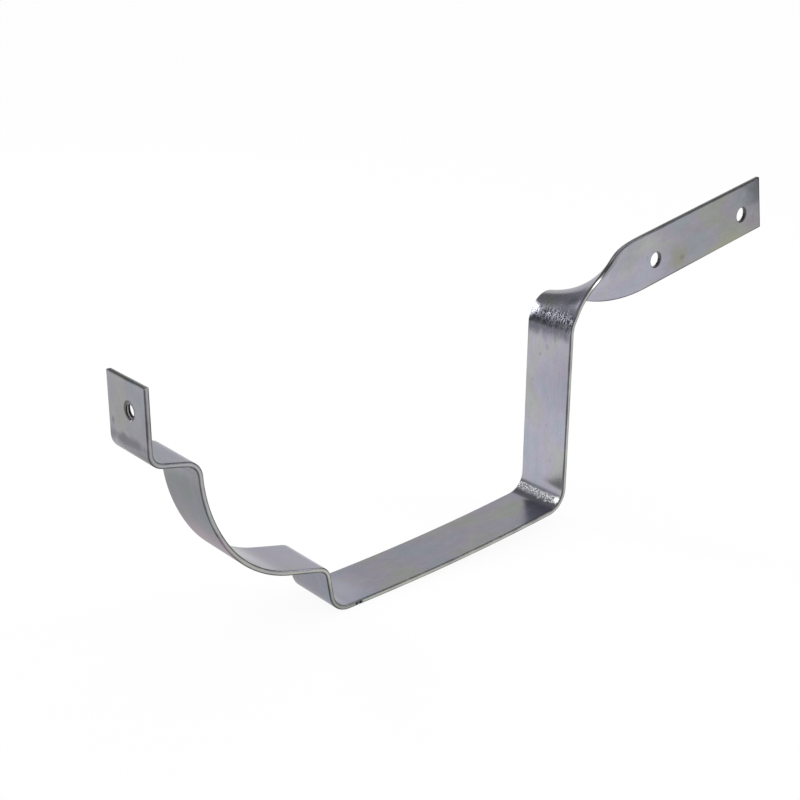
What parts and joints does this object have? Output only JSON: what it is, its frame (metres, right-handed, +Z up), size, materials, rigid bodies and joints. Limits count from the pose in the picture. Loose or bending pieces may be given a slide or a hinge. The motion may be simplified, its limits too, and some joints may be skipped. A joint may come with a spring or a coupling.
{
  "type": "gutter bracket",
  "caption": "Flat steel strip bent to the outline of a coved gutter, with an upright front tab and an arm, twisted a quarter turn, that is screwed to the side of a rafter.",
  "frame": {"origin": "midway between the arm's two holes, on the face that lies against the rafter", "axes": "+X from the gutter's front towards the rafter's upper end, +Z up, +Y out of the arm's seat face into the rafter; the strip's width runs along Y as far as the twist"},
  "size_m": [0.3398, 0.0252, 0.1334],
  "materials": {
    "zinc_plated_steel": "bright zinc plate, satin, on rolled steel strip"
  },
  "bodies": {
    "root": {"gutter_bracket": "zinc_plated_steel"}
  },
  "joints": []
}
